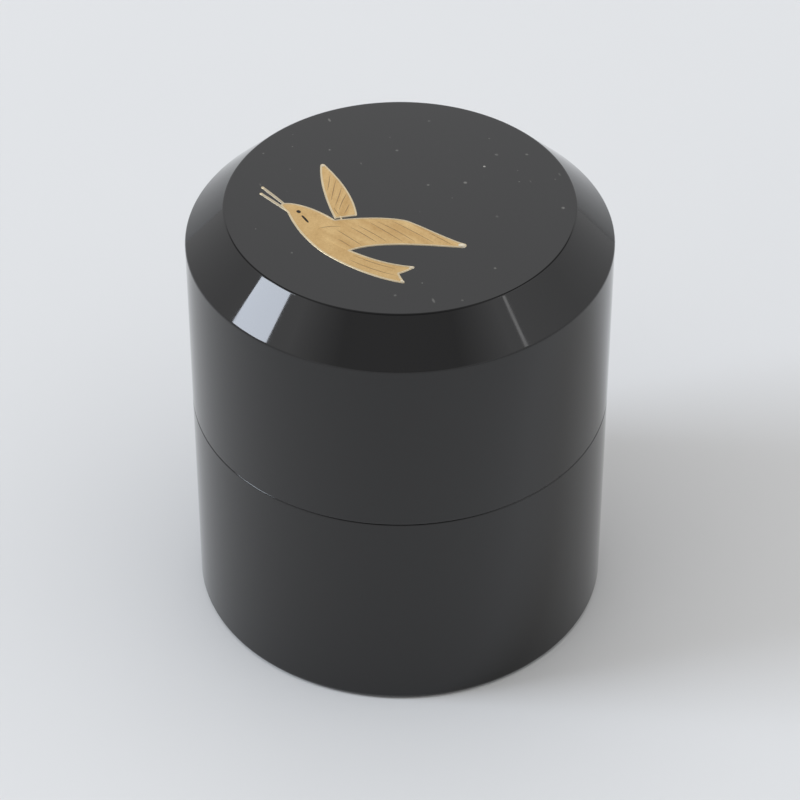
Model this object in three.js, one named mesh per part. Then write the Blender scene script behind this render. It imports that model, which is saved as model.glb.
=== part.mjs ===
// A cylindrical tea caddy of turned wood in polished black lacquer. Its body and its lid are the
// same diameter and meet at mid-height, and the lid has a 45 degree chamfer round a faintly domed top.
// Millimetres, +Z up. The origin is the centre of the underside, and the caddy's front faces -Y.
import * as THREE from "three";

// Overall sizes
const OUTER_DIAMETER = 66;
const HEIGHT = 75; // underside to the crown of the lid
const SEAM_HEIGHT = 37.5; // underside to the joint between body and lid

// Lid
const LID_WALL = 1.8;
const CHAMFER = 6.1; // how far it runs in, and down, round the shoulder
const CHAMFER_WALL = 2.2;
const TOP_THICKNESS = 2.4;
const DOME_RISE = 1.3; // crown above the edge of the top

// Body
const COLLAR_HEIGHT = 9; // stands above the joint, inside the lid
const COLLAR_WALL = 1.4;
const COLLAR_CLEARANCE = 0.2; // on the radius, between collar and lid
const FLOOR_THICKNESS = 4;
const FLOOR_ROUND = 5; // inside corner between wall and floor
const FOOT_RING_WIDTH = 5;
const FOOT_RECESS = 0.5; // the underside inside the foot ring stands this far off the ground
const FOOT_RECESS_SLOPE = 1.2; // width of the slope from the ring up to the recess

// Roundings that the lacquer gives each edge
const TOP_EDGE_ROUND = 0.6;
const SHOULDER_ROUND = 0.6;
const SEAM_ROUND = 0.25;
const COLLAR_ROUND = 0.5;
const FOOT_ROUND = 1;

// Fineness of the facets: the lid and the collar share it, so that one turns inside the other
const TURNS = 96;
const ARC_STEPS = 3;
const FLOOR_ARC_STEPS = 5;
const DOME_STEPS = 5;

const outerRadius = OUTER_DIAMETER / 2;
const lidBore = outerRadius - LID_WALL;
const collarRadius = lidBore - COLLAR_CLEARANCE;
const bodyBore = collarRadius - COLLAR_WALL;
const topEdgeRadius = outerRadius - CHAMFER;
const topEdgeHeight = HEIGHT - DOME_RISE;

const blackLacquer = new THREE.MeshStandardMaterial({ color: "#141516", roughness: 0.08, metalness: 0 });

// A profile point on a corner that stays sharp, or is rounded by an arc of the given radius.
function corner(radius, height, round = 0, steps = ARC_STEPS) {
  return { at: new THREE.Vector2(radius, height), round, steps };
}

// The profile through the corners, with each rounded one replaced by an arc that its two sides touch.
function roundedProfile(corners) {
  return corners.flatMap(({ at, round, steps }, i) => {
    if (!round) return [at];
    const back = corners[i - 1].at.clone().sub(at).normalize();
    const onward = corners[i + 1].at.clone().sub(at).normalize();
    const halfAngle = Math.acos(back.dot(onward)) / 2;
    const centre = back.clone().add(onward).setLength(round / Math.sin(halfAngle)).add(at);
    const start = back.clone().setLength(round / Math.tan(halfAngle)).add(at);
    const sweep = (Math.PI - 2 * halfAngle) * Math.sign(onward.cross(back));
    return Array.from({ length: steps + 1 }, (_, k) =>
      start.clone().rotateAround(centre, (sweep * k) / steps)
    );
  });
}

// Points on a shallow dome from its crown on the axis towards its edge, without the edge itself.
function dome(edgeRadius, edgeHeight, rise) {
  const sphereRadius = (edgeRadius ** 2 + rise ** 2) / (2 * rise);
  return Array.from({ length: DOME_STEPS }, (_, k) => {
    const radius = (edgeRadius * k) / DOME_STEPS;
    return corner(radius, edgeHeight + rise - sphereRadius + Math.sqrt(sphereRadius ** 2 - radius ** 2));
  });
}

// The profile, which goes out from the axis and up its outer side, turned about the upright axis.
function turned(name, corners) {
  const geometry = new THREE.LatheGeometry(roundedProfile(corners), TURNS).rotateX(Math.PI / 2);
  const mesh = new THREE.Mesh(geometry, blackLacquer);
  mesh.name = name;
  return mesh;
}

function makeBody() {
  const footRingInside = outerRadius - FOOT_ROUND - FOOT_RING_WIDTH;
  const floorTop = FOOT_RECESS + FLOOR_THICKNESS;
  const collarTop = SEAM_HEIGHT + COLLAR_HEIGHT;
  return turned("body", [
    corner(0, FOOT_RECESS),
    corner(footRingInside - FOOT_RECESS_SLOPE, FOOT_RECESS),
    corner(footRingInside, 0),
    corner(outerRadius, 0, FOOT_ROUND),
    corner(outerRadius, SEAM_HEIGHT, SEAM_ROUND),
    corner(collarRadius, SEAM_HEIGHT),
    corner(collarRadius, collarTop, COLLAR_ROUND),
    corner(bodyBore, collarTop, COLLAR_ROUND),
    corner(bodyBore, floorTop, FLOOR_ROUND, FLOOR_ARC_STEPS),
    corner(0, floorTop),
  ]);
}

function makeLid() {
  // The chamfer is the line along which radius and height add up to one sum, inside as outside.
  const outerSum = topEdgeRadius + topEdgeHeight;
  const innerSum = outerSum - CHAMFER_WALL * Math.SQRT2;
  const ceilingEdgeHeight = topEdgeHeight - TOP_THICKNESS;
  const ceilingEdgeRadius = innerSum - ceilingEdgeHeight;
  return turned("lid", [
    ...dome(ceilingEdgeRadius, ceilingEdgeHeight, DOME_RISE),
    corner(ceilingEdgeRadius, ceilingEdgeHeight),
    corner(lidBore, innerSum - lidBore),
    corner(lidBore, SEAM_HEIGHT),
    corner(outerRadius, SEAM_HEIGHT, SEAM_ROUND),
    corner(outerRadius, topEdgeHeight - CHAMFER, SHOULDER_ROUND),
    corner(topEdgeRadius, topEdgeHeight, TOP_EDGE_ROUND),
    ...dome(topEdgeRadius, topEdgeHeight, DOME_RISE).reverse(),
  ]);
}

const caddy = new THREE.Group();
caddy.add(makeBody(), makeLid());

export default caddy;
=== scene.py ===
"""A cylindrical tea caddy in polished black lacquer, with a bird in gold powder on its lid.

The front of the caddy faces -Y, and its underside stands on z = 0. Lengths are in metres.
"""
import math
import random

import bpy
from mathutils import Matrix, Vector
from mathutils.geometry import delaunay_2d_cdt, interpolate_bezier


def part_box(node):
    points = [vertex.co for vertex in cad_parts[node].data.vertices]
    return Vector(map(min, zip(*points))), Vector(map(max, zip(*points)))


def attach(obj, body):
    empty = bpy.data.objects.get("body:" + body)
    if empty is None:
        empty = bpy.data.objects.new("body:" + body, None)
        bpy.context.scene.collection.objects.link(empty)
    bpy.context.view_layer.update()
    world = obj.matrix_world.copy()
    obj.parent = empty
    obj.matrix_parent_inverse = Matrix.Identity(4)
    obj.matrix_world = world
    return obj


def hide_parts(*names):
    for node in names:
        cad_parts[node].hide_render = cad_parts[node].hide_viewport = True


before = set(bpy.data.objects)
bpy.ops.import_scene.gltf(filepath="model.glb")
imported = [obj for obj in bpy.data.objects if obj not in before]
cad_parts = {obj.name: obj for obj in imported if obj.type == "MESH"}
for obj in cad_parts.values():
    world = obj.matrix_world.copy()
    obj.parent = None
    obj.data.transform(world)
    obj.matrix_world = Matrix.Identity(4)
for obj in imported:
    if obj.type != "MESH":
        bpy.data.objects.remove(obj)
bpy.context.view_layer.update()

# The body
# The lower half is one vessel, turned thin from well-seasoned wood: floor, wall and a finer collar that
# stands up inside the joint. It is lacquered black all over, and the collar holds the lid by its close fit.

MM = 0.001


def linear(colour):
    """The linear RGBA of a colour written as an sRGB hex value."""
    channels = [int(colour[i : i + 2], 16) / 255 for i in (1, 3, 5)]
    return (*(c / 12.92 if c <= 0.04045 else ((c + 0.055) / 1.055) ** 2.4 for c in channels), 1.0)


def add(tree, kind, values=None, links=None, **settings):
    """Adds a shader node with its settings, its input values and its links from other nodes' outputs."""
    made = tree.nodes.new("ShaderNode" + kind)
    for name, value in settings.items():
        setattr(made, name, value)
    for socket, value in (values or {}).items():
        made.inputs[socket].default_value = value
    for socket, source in (links or {}).items():
        tree.links.new(source, made.inputs[socket])
    return made


def new_material(name, values):
    """A new material with its node tree, its one Principled shader, and the object's coordinates."""
    made = bpy.data.materials.new(name)
    made.use_nodes = True
    tree = made.node_tree
    tree.nodes.clear()
    surface = add(tree, "BsdfPrincipled", values)
    add(tree, "OutputMaterial", links={"Surface": surface.outputs["BSDF"]})
    place = add(tree, "TexCoord").outputs["Object"]
    return made, tree, surface, place


def rounded(corners, steps=8):
    """Rounds the corners (radius, height, rounding) of a turned profile. The first and the last only give
    directions. Each point comes back as (radius, height, normal), with the normal to the right."""
    points = []
    for before, (radius, height, rounding), after in zip(corners, corners[1:], corners[2:]):
        arriving = Vector((radius - before[0], height - before[1])).normalized()
        leaving = Vector((after[0] - radius, after[1] - height)).normalized()
        turn = math.atan2(arriving.cross(leaving), arriving.dot(leaving))
        side = math.copysign(rounding, turn)
        start = Vector((radius, height)) - arriving * rounding * math.tan(abs(turn) / 2)
        heading = math.atan2(arriving.y, arriving.x)
        centre = start - side * Vector((math.sin(heading), -math.cos(heading)))
        for step in range(steps + 1):
            angle = heading + turn * step / steps
            normal = Vector((math.sin(angle), -math.cos(angle)))
            points.append((*(centre + side * normal), normal))
    return points


TURNS = 288  # points round the caddy
ON_AXIS = 0.001 * MM  # a ring smaller than this is one point


def turned(name, profile):
    """Turns a profile about the upright axis. It runs from axis to axis, with the piece on its left."""
    vertices = []
    normals = []
    rings = []
    for radius, height, normal in profile:
        turns = [0] if radius < ON_AXIS else range(TURNS)
        rings.append(range(len(vertices), len(vertices) + len(turns)))
        for turn in turns:
            c = math.cos(math.tau * turn / TURNS)
            s = math.sin(math.tau * turn / TURNS)
            vertices.append((radius * c, radius * s, height))
            normals.append((normal.x * c, normal.x * s, normal.y))
    faces = []
    for low, high in zip(rings, rings[1:]):
        for i in range(TURNS):
            j = (i + 1) % TURNS
            corners = [low[i % len(low)], low[j % len(low)], high[j % len(high)], high[i % len(high)]]
            faces.append(list(dict.fromkeys(corners)))
    mesh = bpy.data.meshes.new(name)
    mesh.from_pydata(vertices, [], faces, shade_flat=False)
    mesh.normals_split_custom_set_from_vertices(normals)
    made = bpy.data.objects.new(name, mesh)
    bpy.context.collection.objects.link(made)
    return made


LACQUER_BLACK = "#0b0a0a"
URUSHI_IOR = 1.54
MIRROR_ROUGHNESS = 0.03
HAZY_ROUGHNESS = 0.075
WIPE_WIDTH = 6 * MM
WAVE_LENGTH = 14 * MM
WAVE_DEPTH = 0.006 * MM


def black_lacquer(name, soiled=None):
    """Urushi, rubbed to a mirror with charcoal, oil and horn ash.

    The film is nearly clear over black, so all that shows is what it mirrors, at the index of urushi. The
    last wipes leave faint hazy bands, and the hand polish a slow waviness. What soils it comes on top."""
    plain = {"Base Color": linear(LACQUER_BLACK), "IOR": URUSHI_IOR}
    made, tree, surface, place = new_material(name, plain)
    wiped = add(tree, "Mapping", {"Rotation": (0, 0, 0.6), "Scale": (1, 0.25, 1)}, {"Vector": place})
    wipes = add(
        tree, "TexNoise", {"Scale": 1 / WIPE_WIDTH, "Detail": 4.0, "Roughness": 0.6},
        {"Vector": wiped.outputs[0]},
    )
    haze = add(
        tree, "MapRange",
        {"From Min": 0.35, "From Max": 0.75, "To Min": MIRROR_ROUGHNESS, "To Max": HAZY_ROUGHNESS},
        {"Value": wipes.outputs["Fac"]},
    )
    tree.links.new(haze.outputs[0], surface.inputs["Roughness"])
    if soiled:
        soiled(tree, surface, place, haze.outputs[0])
    waves = add(tree, "TexNoise", {"Scale": 1 / WAVE_LENGTH, "Detail": 1.0}, {"Vector": place})
    polish = add(tree, "Bump", {"Strength": 1.0, "Distance": WAVE_DEPTH}, {"Height": waves.outputs["Fac"]})
    tree.links.new(polish.outputs["Normal"], surface.inputs["Normal"])
    return made


LID_WALL = 1.8 * MM
COLLAR_CLEARANCE = 0.2 * MM
COLLAR_WALL = 1.4 * MM
FLOOR_THICKNESS = 4 * MM
FLOOR_ROUND = 5 * MM
FOOT_RING_WIDTH = 5 * MM
FOOT_RECESS = 0.5 * MM
FOOT_RECESS_SLOPE = 1.2 * MM
FOOT_ROUND = 1 * MM
SEAM_ROUND = 0.25 * MM
COLLAR_ROUND = 0.5 * MM
INSIDE_CORNER = 0.1 * MM  # what the lacquer leaves in a corner that the turner cut sharp

UP = Vector((0, 1))
DOWN = Vector((0, -1))
body_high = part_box("body")[1]
lid_low, lid_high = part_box("lid")
outer_radius = body_high.x
seam_height = lid_low.z
lid_bore = outer_radius - LID_WALL
collar_radius = lid_bore - COLLAR_CLEARANCE
body_bore = collar_radius - COLLAR_WALL
foot_ring_inside = outer_radius - FOOT_ROUND - FOOT_RING_WIDTH
floor_top = FOOT_RECESS + FLOOR_THICKNESS

body = turned("lacquered_body", [
    (0, FOOT_RECESS, DOWN),
    *rounded([
        (0, FOOT_RECESS),
        (foot_ring_inside - FOOT_RECESS_SLOPE, FOOT_RECESS, INSIDE_CORNER),
        (foot_ring_inside, 0, INSIDE_CORNER),
        (outer_radius, 0, FOOT_ROUND),
        (outer_radius, seam_height, SEAM_ROUND),
        (collar_radius, seam_height, INSIDE_CORNER),
        (collar_radius, body_high.z, COLLAR_ROUND),
        (body_bore, body_high.z, COLLAR_ROUND),
        (body_bore, floor_top, FLOOR_ROUND),
        (0, floor_top),
    ]),
    (0, floor_top, UP),
])
body.data.materials.append(black_lacquer("polished_black_lacquer"))
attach(body, "root")
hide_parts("body")

# The lid
# The upper half is one turned cap, hollow, of the same wood and lacquer. Its shoulder is cut off at 45
# degrees, its top is very slightly domed, and it lifts off: the joint is the fine line at half height.

CHAMFER = 6.1 * MM
CHAMFER_WALL = 2.2 * MM
TOP_THICKNESS = 2.4 * MM
DOME_RISE = 1.3 * MM
DOME_RINGS = 24
TOP_EDGE_ROUND = 0.6 * MM
SHOULDER_ROUND = 0.6 * MM

top_edge_radius = outer_radius - CHAMFER
top_edge_height = lid_high.z - DOME_RISE


def dome_sphere(edge_radius):
    """The radius of the sphere that the dome over an edge is cut from."""
    return (edge_radius**2 + DOME_RISE**2) / (2 * DOME_RISE)


def dome(edge_radius, edge_height, down=False):
    """Profile points on the shallow dome over an edge, from the first ring inside the edge to the axis."""
    sphere = dome_sphere(edge_radius)
    centre = Vector((0, edge_height + DOME_RISE - sphere))
    points = []
    for ring in reversed(range(DOME_RINGS)):
        radius = edge_radius * ring / DOME_RINGS
        normal = Vector((radius, math.sqrt(sphere**2 - radius**2))) / sphere
        points.append((*(centre + sphere * normal), -normal if down else normal))
    return points


def dome_apex(edge_radius, edge_height):
    """Where the dome's slope at its edge would meet the axis."""
    slope = math.asin(edge_radius / dome_sphere(edge_radius))
    return 0, edge_height + edge_radius * math.tan(slope)


ceiling_height = top_edge_height - TOP_THICKNESS
chamfer_sum = top_edge_radius + top_edge_height - CHAMFER_WALL * math.sqrt(2)
ceiling_radius = chamfer_sum - ceiling_height

lid = turned("lacquered_lid", [
    *reversed(dome(ceiling_radius, ceiling_height, down=True)),
    *rounded([
        dome_apex(ceiling_radius, ceiling_height),
        (ceiling_radius, ceiling_height, SHOULDER_ROUND),
        (lid_bore, chamfer_sum - lid_bore, SHOULDER_ROUND),
        (lid_bore, seam_height, INSIDE_CORNER),
        (outer_radius, seam_height, SEAM_ROUND),
        (outer_radius, top_edge_height - CHAMFER, SHOULDER_ROUND),
        (top_edge_radius, top_edge_height, TOP_EDGE_ROUND),
        dome_apex(top_edge_radius, top_edge_height),
    ]),
    *dome(top_edge_radius, top_edge_height),
])


SOFT_SHARE = 0.6  # of a fleck's radius that fades out


def flecks(tree, from_above, net_size, turn, share, largest, strengths):
    """Soft specks, at most one in each cell of a loose net: 0 between them, and each of its own strength.
    Share is how many of the cells hold one, and largest is the greatest radius, in cells."""
    laid = add(
        tree, "Mapping", {"Rotation": (0, 0, turn), "Scale": (*net_size, 1)}, {"Vector": from_above},
        vector_type="TEXTURE",
    )
    net = add(tree, "TexVoronoi", {"Scale": 1.0}, {"Vector": laid.outputs[0]}, voronoi_dimensions="2D")
    luck = add(tree, "SeparateColor", links={"Color": net.outputs["Color"]})
    reach = add(
        tree, "MapRange", {"From Min": 1 - share, "To Max": largest}, {"Value": luck.outputs["Red"]}
    )
    depth = add(
        tree, "Math", links={0: reach.outputs[0], 1: net.outputs["Distance"]}, operation="SUBTRACT"
    )
    soft = add(tree, "MapRange", {"From Max": SOFT_SHARE * largest}, {"Value": depth.outputs[0]})
    strength = add(
        tree, "MapRange", {"To Min": strengths[0], "To Max": strengths[1]}, {"Value": luck.outputs["Green"]}
    )
    seen = add(tree, "Math", links={0: soft.outputs[0], 1: strength.outputs[0]}, operation="MULTIPLY")
    return seen.outputs[0]


DUST_GREY = "#94928c"
DUST_ROUGHNESS = 0.6
LINT = (13.0 * MM, 8.4 * MM)  # where the brightest speck lies
LINT_CORE = 0.14 * MM
LINT_REACH = 0.24 * MM
LEVEL = 0.9  # dust lies where the surface faces up by more than this


def settled_dust(tree, surface, place, gloss):
    """Dust on the level top: soft round flecks, a few short fibres, and one bright speck of lint."""
    from_above = add(tree, "VectorMath", {1: (1, 1, 0)}, {0: place}, operation="MULTIPLY").outputs[0]
    specks = flecks(
        tree, from_above, net_size=(5 * MM, 5 * MM), turn=0.0, share=0.68, largest=0.07,
        strengths=(0.08, 0.5),
    )
    fibres = flecks(
        tree, from_above, net_size=(12 * MM, 4.5 * MM), turn=1.9, share=0.35, largest=0.055,
        strengths=(0.08, 0.35),
    )
    lint_away = add(tree, "VectorMath", {1: (*LINT, 0)}, {0: from_above}, operation="DISTANCE")
    lint = add(
        tree, "MapRange", {"From Min": LINT_REACH, "From Max": LINT_CORE},
        {"Value": lint_away.outputs["Value"]},
    )
    both = add(tree, "Math", links={0: specks, 1: fibres}, operation="MAXIMUM")
    all_three = add(tree, "Math", links={0: both.outputs[0], 1: lint.outputs[0]}, operation="MAXIMUM")
    facing = add(tree, "SeparateXYZ", links={0: add(tree, "NewGeometry").outputs["Normal"]})
    level = add(tree, "Math", {1: LEVEL}, {0: facing.outputs["Z"]}, operation="GREATER_THAN")
    lying = add(tree, "Math", links={0: all_three.outputs[0], 1: level.outputs[0]}, operation="MULTIPLY")
    dust = lying.outputs[0]
    dulled = add(tree, "Mix", {"B": DUST_ROUGHNESS}, {"Factor": dust, "A": gloss}, data_type="FLOAT")
    paled = add(
        tree, "Mix", {"A": linear(LACQUER_BLACK), "B": linear(DUST_GREY)}, {"Factor": dust},
        data_type="RGBA",
    )
    tree.links.new(dulled.outputs["Result"], surface.inputs["Roughness"])
    tree.links.new(paled.outputs["Result"], surface.inputs["Base Color"])


lid.data.materials.append(black_lacquer("dusty_black_lacquer", settled_dust))
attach(lid, "root")
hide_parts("lid")

# The bird's gold ground
# Gold powder sown into wet lacquer inside the outline of the bird, then sealed and burnished. Body and
# tail are one patch, the near wing a second one that laps over it, and a black gap parts the far wing.

BODY_RISE = 0.05 * MM
WING_RISE = 0.058 * MM
SUNK = 0.06 * MM  # how far the picture's pieces reach down into the lacquer
top_sphere = dome_sphere(top_edge_radius)


def on_lid(x, y, rise=0.0):
    """The point over (x, y) at a height over the lid's top."""
    return x, y, lid_high.z - top_sphere + math.sqrt(top_sphere**2 - x * x - y * y) + rise


def drawn(start, *strokes, steps=28):
    """A line drawn in Bezier strokes, each with its two handles and its end. Points are in millimetres."""
    line = [Vector(start) * MM]
    for stroke in strokes:
        first, second, end = (Vector(point) * MM for point in stroke)
        line += interpolate_bezier(line[-1], first, second, end, steps + 1)[1:]
    return line


PATCH_MESH = 0.45 * MM
SAME_POINT = 0.0001 * MM


def patch(name, outline, rise):
    """A thin solid patch that follows the dome, inside a closed outline that runs clockwise."""
    inner = []
    low = Vector((min(p.x for p in outline), min(p.y for p in outline)))
    high = Vector((max(p.x for p in outline), max(p.y for p in outline)))
    for row in range(int((high.y - low.y) / PATCH_MESH) + 1):
        for column in range(int((high.x - low.x) / PATCH_MESH) + 1):
            inner.append(low + Vector((column + 0.5 * (row % 2), row)) * PATCH_MESH)
    rim = outline[:-1][::-1]
    edges = [(i, (i + 1) % len(rim)) for i in range(len(rim))]
    flat, _, faces, _, _, _ = delaunay_2d_cdt(rim + inner, edges, [], 1, SAME_POINT)
    used = sorted({i for face in faces for i in face})
    at = {old: new for new, old in enumerate(used)}
    count = len(used)
    vertices = [on_lid(*flat[i], rise) for i in used] + [on_lid(*flat[i], -SUNK) for i in used]
    top = [[at[i] for i in face] for face in faces]
    open_sides = {(a, b) for face in top for a, b in zip(face, face[1:] + face[:1])}
    walls = [[b, a, a + count, b + count] for a, b in open_sides if (b, a) not in open_sides]
    mesh = bpy.data.meshes.new(name)
    mesh.from_pydata(vertices, [], top + [[i + count for i in reversed(face)] for face in top] + walls)
    mesh.shade_smooth()
    mesh.set_sharp_from_angle(angle=math.radians(40))
    made = bpy.data.objects.new(name, mesh)
    bpy.context.collection.objects.link(made)
    return made


GOLD_ROUGHNESS = 0.42
GRAIN = 0.16 * MM  # drawn about three times as coarse as the powder, so that it shows
GRAIN_DEPTH = 0.02 * MM
SOWN_PATCH = 2.4 * MM  # across a thicker or thinner place in the sown powder
STREAK_LENGTH = 12  # streak widths
GRAIN_SHARE = 0.3  # what each pattern adds to the change from deep to light gold
SOWN_SHARE = 0.8
STREAK_SHARE = 1.1


def gold_powder(name, light, deep, roughness=GOLD_ROUGHNESS, streaks=None):
    """Burnished gold powder: a soft metal gloss, broken up by grains that each catch the light differently.

    It is sown a little thicker and thinner from place to place. In a wing it also lies in the soft streaks
    of the feathers, given by their slant in degrees and their width."""
    made, tree, surface, place = new_material(name, {"Metallic": 1.0, "Roughness": roughness})
    grains = add(tree, "TexVoronoi", {"Scale": 1 / GRAIN}, {"Vector": place})
    grain_tone = add(tree, "SeparateColor", links={"Color": grains.outputs["Color"]}).outputs["Red"]
    sown = add(tree, "TexNoise", {"Scale": 1 / SOWN_PATCH, "Detail": 3.0}, {"Vector": place})
    patterns = [(grain_tone, GRAIN_SHARE), (sown.outputs["Fac"], SOWN_SHARE)]
    if streaks:
        slant, width = streaks
        combed = add(
            tree, "Mapping",
            {"Rotation": (0, 0, math.radians(slant)), "Scale": (STREAK_LENGTH * width, width, 1)},
            {"Vector": place}, vector_type="TEXTURE",
        )
        feathers = add(tree, "TexNoise", {"Scale": 1.0, "Detail": 1.0}, {"Vector": combed.outputs[0]})
        patterns.append((feathers.outputs["Fac"], STREAK_SHARE))
    middle = 0.5 - sum(share for _, share in patterns) / 2
    amount = None
    for pattern, share in patterns:
        summed = add(tree, "Math", {1: share, 2: middle}, {0: pattern}, operation="MULTIPLY_ADD")
        if amount:
            tree.links.new(amount, summed.inputs[2])
        amount = summed.outputs[0]
    shade = add(tree, "Mix", {"A": linear(deep), "B": linear(light)}, {"Factor": amount}, data_type="RGBA")
    tree.links.new(shade.outputs["Result"], surface.inputs["Base Color"])
    relief = add(
        tree, "Bump", {"Strength": 0.5, "Distance": GRAIN_DEPTH}, {"Height": grains.outputs["Distance"]}
    )
    tree.links.new(relief.outputs["Normal"], surface.inputs["Normal"])
    return made


# Places and strokes of the picture in millimetres, seen from above with the front at the bottom.
FACE = (-18.0, -1.3)
WING_ROOT = (-9.9, -5.65)
WING_TIP = (9.65, -11.35)
CROTCH = (-7.7, -12.8)
SHOULDER = (-12.3, -7.3)

head = [
    ((-17.8, -1.1), (-17.6, -1.02), (-17.3, -1.02)),
    ((-15.4, -1.15), (-12.4, -3.0), WING_ROOT),
]
wing_edges = [
    ((-7.2, -5.35), (-2.6, -4.9), (0.9, -6.0)),
    ((2.6, -6.85), (7.0, -10.3), WING_TIP),
    ((9.95, -11.47), (9.8, -11.9), (9.2, -11.95)),
    ((4.4, -11.75), (-3.6, -10.6), CROTCH),
]
tail_and_belly = [
    ((-4.9, -14.6), (-1.9, -16.3), (2.0, -16.7)),
    ((1.3, -17.3), (0.6, -17.7), (-0.3, -18.1)),
    ((-0.1, -18.8), (0.2, -19.5), (0.55, -20.1)),
    ((-3.6, -19.2), (-8.6, -16.0), (-11.65, -12.8)),
    ((-14.4, -9.6), (-16.0, -6.2), (-16.95, -3.0)),
    ((-17.3, -2.6), (-17.8, -2.0), FACE),
]
under_wing = ((-8.6, -8.0), (-8.0, -10.4), CROTCH)
shoulder_edge = [
    ((-9.9, -11.4), (-12.5, -9.2), SHOULDER),
    ((-12.2, -6.6), (-11.2, -5.9), WING_ROOT),
]
far_edges = [
    ((-12.12, 8.8), (-12.0, 8.95), (-11.75, 8.7)),
    ((-10.4, 6.4), (-7.2, 1.2), (-6.65, -4.45)),
    ((-7.6, -4.6), (-8.7, -4.8), (-9.75, -5.0)),
    ((-10.9, -1.6), (-12.2, 3.6), (-12.12, 8.3)),
]
bird_outline = drawn(FACE, *head, *wing_edges, *tail_and_belly)
body_outline = drawn(FACE, *head, under_wing, *tail_and_belly)
near_wing_outline = drawn(WING_ROOT, *wing_edges, *shoulder_edge)
far_wing_outline = drawn((-12.12, 8.3), *far_edges)

GOLD_LIGHT = "#f0d097"
GOLD_DEEP = "#cda56c"
gold_body = patch("gold_body", body_outline, BODY_RISE)
gold_body.data.materials.append(gold_powder("burnished_gold_powder", GOLD_LIGHT, GOLD_DEEP))
gold_near_wing = patch("gold_near_wing", near_wing_outline, WING_RISE)
near_wing_gold = gold_powder("near_wing_gold_powder", GOLD_LIGHT, GOLD_DEEP, streaks=(-42, 1.1 * MM))
gold_near_wing.data.materials.append(near_wing_gold)
gold_far_wing = patch("gold_far_wing", far_wing_outline, WING_RISE)
far_wing_gold = gold_powder("far_wing_gold_powder", GOLD_LIGHT, GOLD_DEEP, streaks=(76, 0.9 * MM))
gold_far_wing.data.materials.append(far_wing_gold)
for ground in (gold_body, gold_near_wing, gold_far_wing):
    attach(ground, "root")

# The outlines and the bill
# Lines drawn with a fine brush and dusted with the finest, palest gold, raised like a thread over the
# edge of the ground. The open bill is two such lines on the black, and the lacquer pools in a pale drop
# at each tip. A last short stroke strays across the black gap between body and far wing.

LINE_WIDTH = 0.36 * MM
LINE_RISE = 0.085 * MM


def even(line, spacing=0.12 * MM):
    """The same line with its points spread evenly along it."""
    away = [0.0]
    for a, b in zip(line, line[1:]):
        away.append(away[-1] + (b - a).length)
    count = max(2, round(away[-1] / spacing))
    spread = []
    i = 0
    for step in range(count + 1):
        goal = away[-1] * step / count
        while i < len(line) - 2 and away[i + 1] < goal:
            i += 1
        gap = max(away[i + 1] - away[i], 1e-12)
        spread.append(line[i].lerp(line[i + 1], min(1.0, (goal - away[i]) / gap)))
    return spread


BACK_STEPS = 6  # over a line's rounded back
SECTION = BACK_STEPS + 3  # points round a line: those of its back, and one below each edge


def ridge(name, lines, width, rise, base=0.0, closed=False):
    """Raised lines with a rounded back, on a ground of height base. The width follows the share along."""
    vertices = []
    faces = []
    for line in lines:
        first = len(vertices)
        count = len(line)
        widths = [width(i / (count - 1)) for i in range(count)]
        for i, point in enumerate(line):
            before = line[i - 1] if closed or i else point
            after = line[(i + 1) % count] if closed or i < count - 1 else point
            along = (after - before).normalized()
            across = Vector((-along.y, along.x)) * widths[i] / 2
            section = [on_lid(*(point + across), -SUNK)]
            for step in range(BACK_STEPS + 1):
                angle = math.pi * step / BACK_STEPS
                height = base + rise * widths[i] / max(widths) * math.sin(angle)
                section.append(on_lid(*(point + across * math.cos(angle)), height))
            section.append(on_lid(*(point - across), -SUNK))
            vertices += section
        for i in range(count if closed else count - 1):
            low = first + SECTION * i
            high = first + SECTION * ((i + 1) % count)
            for k in range(SECTION):
                following = (k + 1) % SECTION
                faces.append([low + k, low + following, high + following, high + k])
        if not closed:
            faces.append([first + k for k in reversed(range(SECTION))])
            faces.append([len(vertices) - SECTION + k for k in range(SECTION)])
    mesh = bpy.data.meshes.new(name)
    mesh.from_pydata(vertices, [], faces)
    mesh.shade_smooth()
    mesh.set_sharp_from_angle(angle=math.radians(70))
    made = bpy.data.objects.new(name, mesh)
    bpy.context.collection.objects.link(made)
    return made


THINNEST = 0.04 * MM


def round_ended(widest, taper=0.25):
    """A width that stays nearly even and closes in an arc at both ends: the smaller the taper, the blunter
    they are."""
    return lambda share: max(widest * (4 * share * (1 - share)) ** taper, THINNEST)


LINE_GOLD = gold_powder("finest_pale_gold", "#f4e4c4", "#e5d1aa")
TIP_GOLD = gold_powder("pooled_pale_gold", "#faf1dd", "#efe0c2", roughness=0.38)
closed_lines = [even(bird_outline)[:-1], even(far_wing_outline)[:-1]]
outlines = ridge("gold_outlines", closed_lines, lambda t: LINE_WIDTH, LINE_RISE, closed=True)
outlines.data.materials.append(LINE_GOLD)

upper_bill = even(drawn((-17.6, -1.05), ((-18.75, 0.45), (-19.95, 2.1), (-21.2, 3.7))))
lower_bill = even(drawn((-17.25, -2.6), ((-18.5, -1.15), (-19.95, 0.5), (-21.4, 2.1))))
bill = ridge("gold_bill", [upper_bill, lower_bill], round_ended(0.5 * MM, 0.12), LINE_RISE)
# The bill has no gold ground under it, so its line is a shade duller.
bill.data.materials.append(gold_powder("bill_gold", "#dccfb6", "#cfc1a5"))

stray_stroke = even(drawn((-9.1, -4.45), ((-9.0, -4.85), (-8.85, -5.25), (-8.7, -5.7))))
stray = ridge("gold_stray_stroke", [stray_stroke], round_ended(0.3 * MM, 0.2), LINE_RISE)
stray.data.materials.append(LINE_GOLD)

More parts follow.
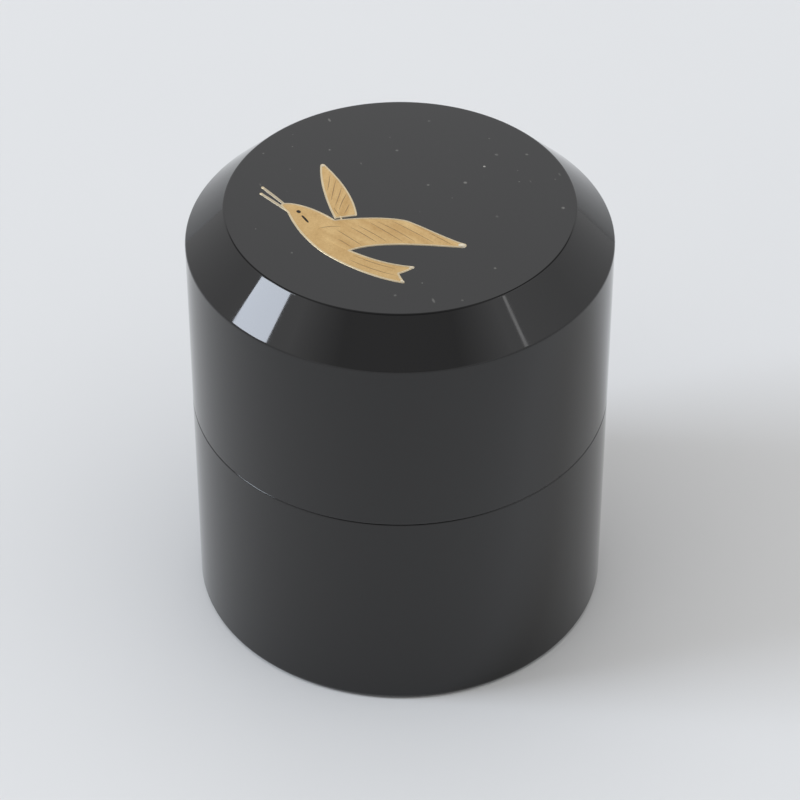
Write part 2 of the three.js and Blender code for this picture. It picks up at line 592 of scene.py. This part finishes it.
bill_tips = ridge(
    "gold_bill_tips",
    [even(drawn((-20.7, 3.05), ((-20.85, 3.25), (-21.0, 3.45), (-21.2, 3.7)))),
     even(drawn((-20.85, 1.5), ((-21.0, 1.65), (-21.2, 1.9), (-21.4, 2.1))))],
    round_ended(0.5 * MM, 0.4), LINE_RISE + 0.01 * MM,
)
bill_tips.data.materials.append(LINE_GOLD)
tips = ridge(
    "gold_tips",
    [even(drawn((1.25, -16.87), ((1.5, -16.85), (1.8, -16.8), (2.15, -16.73)))),
     even(drawn((0.05, -19.55), ((0.25, -19.8), (0.4, -20.0), (0.6, -20.2)))),
     even(drawn((-11.9, 8.1), ((-11.93, 8.35), (-11.95, 8.55), (-11.97, 8.85))))],
    round_ended(0.6 * MM, 0.4), LINE_RISE + 0.02 * MM,
)
tips.data.materials.append(TIP_GOLD)
wing_tip = ridge(
    "gold_near_wing_tip", [even(drawn((8.65, -11.52), ((9.0, -11.56), (9.45, -11.64), (9.9, -11.74))))],
    round_ended(1.05 * MM, 0.4), LINE_RISE + 0.045 * MM,
)
wing_tip.data.materials.append(TIP_GOLD)
for piece in (outlines, bill, bill_tips, stray, tips, wing_tip):
    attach(piece, "root")

# The feathers
# Hairlines scratched with a needle through the fresh gold, so that the brown under-lacquer shows. They
# slant across each wing, nearly side by side, and two run down the tail.

NEEDLE = 0.14 * MM
NEEDLE_RISE = 0.012 * MM  # a scratch is drawn as a hair's height of lacquer, so that it needs no groove
UNEVEN_PLACE = 0.15  # how far the hand strays, in strokes
UNEVEN_SLANT = 1.5  # in degrees
UNEVEN_END = 0.5  # in millimetres, that a stroke ends short of the area's edge
BOW = (-0.01, 0.025)  # how far a stroke bows out, as a share of its length
STROKE_STEPS = 24


def hatch(area, start, end, slants, count, seed):
    """Nearly parallel hand-drawn strokes across an area. They pass points spread from start to end, and
    turn from the first slant to the last. Points are in millimetres, slants in degrees."""
    hand = random.Random(seed)
    strokes = []
    for k in range(count):
        share = (k + hand.uniform(-UNEVEN_PLACE, UNEVEN_PLACE)) / (count - 1)
        through = Vector(start).lerp(Vector(end), share)
        slant = slants[0] + (slants[1] - slants[0]) * share + hand.uniform(-UNEVEN_SLANT, UNEVEN_SLANT)
        along = Vector((math.cos(math.radians(slant)), math.sin(math.radians(slant))))
        across = Vector((-along.y, along.x))
        crossings = []
        for a, b in zip(area, area[1:] + area[:1]):
            side_a = along.cross(Vector(a) - through)
            side_b = along.cross(Vector(b) - through)
            if side_a * side_b < 0:
                crossing = Vector(a).lerp(Vector(b), side_a / (side_a - side_b))
                crossings.append((crossing - through).dot(along))
        low = min(crossings) + hand.uniform(0, UNEVEN_END)
        high = max(crossings) - hand.uniform(0, UNEVEN_END)
        bow = hand.uniform(*BOW) * (high - low)
        stroke = []
        for step in range(STROKE_STEPS + 1):
            t = step / STROKE_STEPS
            point = through + along * (low + (high - low) * t) + across * bow * 4 * t * (1 - t)
            stroke.append(point * MM)
        strokes.append(stroke)
    return strokes


near_area = [
    (-11.2, -7.9), (-8.6, -7.5), (-5.0, -6.1), (-1.0, -5.9), (1.0, -6.6),
    (8.0, -11.1), (7.8, -11.5), (1.5, -11.1), (-3.0, -11.1), (-7.4, -12.4),
]
far_area = [
    (-11.6, 7.6), (-9.3, 4.0), (-7.6, -0.6), (-7.2, -4.1), (-8.7, -4.2), (-10.4, -1.0), (-11.6, 4.2),
]
wing_strokes = hatch(near_area, (-10.4, -8.9), (6.0, -10.3), (-44, -40), 8, seed=3)
wing_strokes += hatch(far_area, (-10.9, 3.0), (-7.6, -1.6), (84, 74), 5, seed=8)
wing_strokes += [
    drawn((-12.2, -7.45), ((-11.2, -7.1), (-10.0, -7.0), (-8.9, -7.15))),
    drawn((-10.0, -2.6), ((-9.8, -3.15), (-9.55, -3.7), (-9.3, -4.2))),
]
tail_strokes = [
    drawn((-7.0, -13.9), ((-5.0, -15.3), (-3.2, -16.2), (-0.7, -17.1))),
    drawn((-7.6, -14.9), ((-5.6, -16.4), (-3.4, -17.6), (-0.8, -18.5))),
]
needle_width = round_ended(NEEDLE, 0.5)
wing_lines = ridge(
    "wing_needle_lines", [even(stroke) for stroke in wing_strokes], needle_width, NEEDLE_RISE, WING_RISE
)
tail_lines = ridge(
    "tail_needle_lines", [even(stroke) for stroke in tail_strokes], needle_width, NEEDLE_RISE, BODY_RISE
)


CLEARED_PATCH = 0.8 * MM


def bared_lacquer():
    """The brown under-lacquer at the bottom of a scratch, unevenly cleared of its gold."""
    made, tree, surface, place = new_material("bared_under_lacquer", {"Roughness": 0.4, "IOR": URUSHI_IOR})
    cleared = add(tree, "TexNoise", {"Scale": 1 / CLEARED_PATCH, "Detail": 2.0}, {"Vector": place})
    shade = add(
        tree, "Mix", {"A": linear("#6d4f2a"), "B": linear("#a3804c")}, {"Factor": cleared.outputs["Fac"]},
        data_type="RGBA",
    )
    tree.links.new(shade.outputs["Result"], surface.inputs["Base Color"])
    return made


BARED = bared_lacquer()
for lines in (wing_lines, tail_lines):
    lines.data.materials.append(BARED)
    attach(lines, "root")

# The eye
# A dot and a short stroke of black lacquer, laid on the gold with the tip of the brush and left
# unpolished, so that they mirror little and stay the darkest marks in the picture.

EYE_RISE = 0.02 * MM
eye_dot = ridge(
    "eye_dot", [even(drawn((-15.6, -2.85), ((-15.5, -3.0), (-15.3, -3.25), (-15.1, -3.5))), 0.05 * MM)],
    round_ended(0.58 * MM, 0.4), EYE_RISE, BODY_RISE,
)
eye_stroke = ridge(
    "eye_stroke", [even(drawn((-14.85, -4.15), ((-14.5, -4.75), (-14.15, -5.35), (-13.8, -5.95))))],
    round_ended(0.36 * MM), EYE_RISE, BODY_RISE,
)


MATT_IOR = 1.4  # less than that of polished urushi, because a brushed film mirrors less
BRUSH_MARK = 0.3 * MM


def brushed_black():
    """Black lacquer as the brush leaves it, a soft brown-black."""
    made, tree, surface, place = new_material("brushed_black_lacquer", {"IOR": MATT_IOR})
    drag = add(tree, "TexNoise", {"Scale": 1 / BRUSH_MARK, "Detail": 2.0}, {"Vector": place})
    shade = add(
        tree, "Mix", {"A": linear("#120c07"), "B": linear("#20170d")}, {"Factor": drag.outputs["Fac"]},
        data_type="RGBA",
    )
    tree.links.new(shade.outputs["Result"], surface.inputs["Base Color"])
    gloss = add(tree, "MapRange", {"To Min": 0.4, "To Max": 0.7}, {"Value": drag.outputs["Fac"]})
    tree.links.new(gloss.outputs[0], surface.inputs["Roughness"])
    return made


BRUSHED = brushed_black()
for mark in (eye_dot, eye_stroke):
    mark.data.materials.append(BRUSHED)
    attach(mark, "root")

# The table, the light and the camera
# Pale paper in a tent of soft white light with dark gaps overhead, a window of light on the left and a
# faint slit of it on the right. Two more sheets of light, which nothing mirrors, only fill the shadow.

FLOOR_RADIUS = 4.0
FLOOR_SIDES = 96
PAPER_CLOUD = 1 / 6  # in metres


def pale_paper():
    """Matt backdrop paper, its colour painted with the faint cloudy shade of a sheet not quite flat."""
    made, tree, surface, place = new_material("pale_paper", {"Roughness": 0.9})
    # Painted shade: the paper's colour is clouded with the light and shade of a sheet that isn't quite
    # flat.
    unflat_sheet_shade = add(tree, "TexNoise", {"Scale": 1 / PAPER_CLOUD, "Detail": 2.0}, {"Vector": place})
    shade = add(
        tree, "Mix", {"A": linear("#d2d2d2"), "B": linear("#d8d8d7")}, {"Factor": unflat_sheet_shade.outputs["Fac"]},
        data_type="RGBA",
    )
    tree.links.new(shade.outputs["Result"], surface.inputs["Base Color"])
    return made


floor_rim = []
for side in range(FLOOR_SIDES):
    angle = math.tau * side / FLOOR_SIDES
    floor_rim.append((FLOOR_RADIUS * math.cos(angle), FLOOR_RADIUS * math.sin(angle), 0))
floor_mesh = bpy.data.meshes.new("paper_floor")
floor_mesh.from_pydata(floor_rim, [], [list(range(FLOOR_SIDES))])
floor_mesh.materials.append(pale_paper())
floor = bpy.data.objects.new("paper_floor", floor_mesh)
bpy.context.collection.objects.link(floor)

TENT_WHITE = "#fcfdff"
TENT_BANDS = [  # height from the horizon, 0, to the top, 1, and brightness
    (0.0, 0.728), (0.4, 0.804), (0.6, 1.008), (0.78, 1.14), (0.86, 0.458), (1.0, 0.3615),
]
DARK_GAPS = [  # direction, angles of the gap's edge and its dark middle in degrees, share of light left
    ((0, -0.6, 0.8), 44, 23, 0.4),  # over the camera, which the chamfer's front mirrors
    ((-0.5, 0.47, 0.72), 20, 13, 0.25),  # to either side, which the rounded rim of the top mirrors
    ((0.5, 0.47, 0.72), 20, 13, 0.25),
]
world = bpy.data.worlds.new("light_tent")
bpy.context.scene.world = world
world.use_nodes = True
sky = world.node_tree
sky.nodes.clear()
way_out = add(sky, "TexCoord").outputs["Generated"]
upward = add(sky, "SeparateXYZ", links={0: way_out})
tent = add(sky, "ValToRGB", links={"Fac": upward.outputs["Z"]})
bands = tent.color_ramp.elements
for height, _ in TENT_BANDS[1:-1]:
    bands.new(height)
for band, (_, brightness) in zip(bands, TENT_BANDS):
    band.color = [channel * brightness for channel in linear(TENT_WHITE)]
strength = None
for way, edge, middle, left_over in DARK_GAPS:
    facing = add(sky, "VectorMath", {1: Vector(way).normalized()}, {0: way_out}, operation="DOT_PRODUCT")
    gap = add(
        sky, "MapRange",
        {"From Min": math.cos(math.radians(edge)), "From Max": math.cos(math.radians(middle)),
         "To Min": 1.0, "To Max": left_over},
        {"Value": facing.outputs["Value"]},
    ).outputs[0]
    if strength:
        gap = add(sky, "Math", links={0: strength, 1: gap}, operation="MULTIPLY").outputs[0]
    strength = gap
glow = add(sky, "Background", links={"Color": tent.outputs["Color"], "Strength": strength})
add(sky, "OutputWorld", links={"Surface": glow.outputs[0]})


def window(name, azimuth, elevation, distance, size, radiance, colour):
    """A soft rectangular light that faces the caddy. Azimuth runs clockwise from +Y, seen from above."""
    a = math.radians(azimuth)
    e = math.radians(elevation)
    way = Vector((math.sin(a) * math.cos(e), math.cos(a) * math.cos(e), math.sin(e)))
    light = bpy.data.lights.new(name, "AREA")
    light.shape = "RECTANGLE"
    light.size, light.size_y = size
    light.energy = radiance * math.pi * size[0] * size[1]
    light.color = linear(colour)[:3]
    made = bpy.data.objects.new(name, light)
    made.location = Vector((0, 0, lid_high.z)) + way * distance
    made.rotation_euler = way.to_track_quat("Z", "Y").to_euler()
    bpy.context.collection.objects.link(made)
    return made


DAYLIGHT = "#e8f1ff"
WHITE = "#ffffff"
window("left_window", -95, 36, distance=6, size=(1.7, 1.7), radiance=11.5, colour=DAYLIGHT)
window("right_slit", 109, 39, distance=6, size=(0.13, 1.5), radiance=1.9, colour=WHITE)
left_sheet = window("left_sheet", -95, 36, distance=6, size=(2.3, 2.3), radiance=5.2, colour=DAYLIGHT)
overhead_sheet = window("overhead_sheet", 0, 90, distance=4, size=(5, 5), radiance=1.02, colour=WHITE)
for sheet in (left_sheet, overhead_sheet):
    sheet.visible_glossy = False

LOOK_DOWN = math.radians(36.8)
DISTANCE = 0.506  # from the top of the lid
FRAME_WIDTH = 0.128  # of the view, at the caddy
AIM_SHARE = 0.46  # of the caddy's height, at which the camera is aimed
camera = bpy.data.objects.new("camera", bpy.data.cameras.new("camera"))
backward = Vector((0, -math.cos(LOOK_DOWN), math.sin(LOOK_DOWN)))
camera.location = Vector((0, 0, lid_high.z)) + DISTANCE * backward
toward = Vector((0, 0, AIM_SHARE * lid_high.z)) - camera.location
camera.rotation_euler = toward.to_track_quat("-Z", "Y").to_euler()
camera.data.sensor_width = 36
camera.data.lens = camera.data.sensor_width * toward.length / FRAME_WIDTH
camera.data.clip_start = 0.01
camera.data.clip_end = 50
bpy.context.collection.objects.link(camera)
bpy.context.scene.camera = camera
bpy.context.scene.view_settings.view_transform = "Standard"
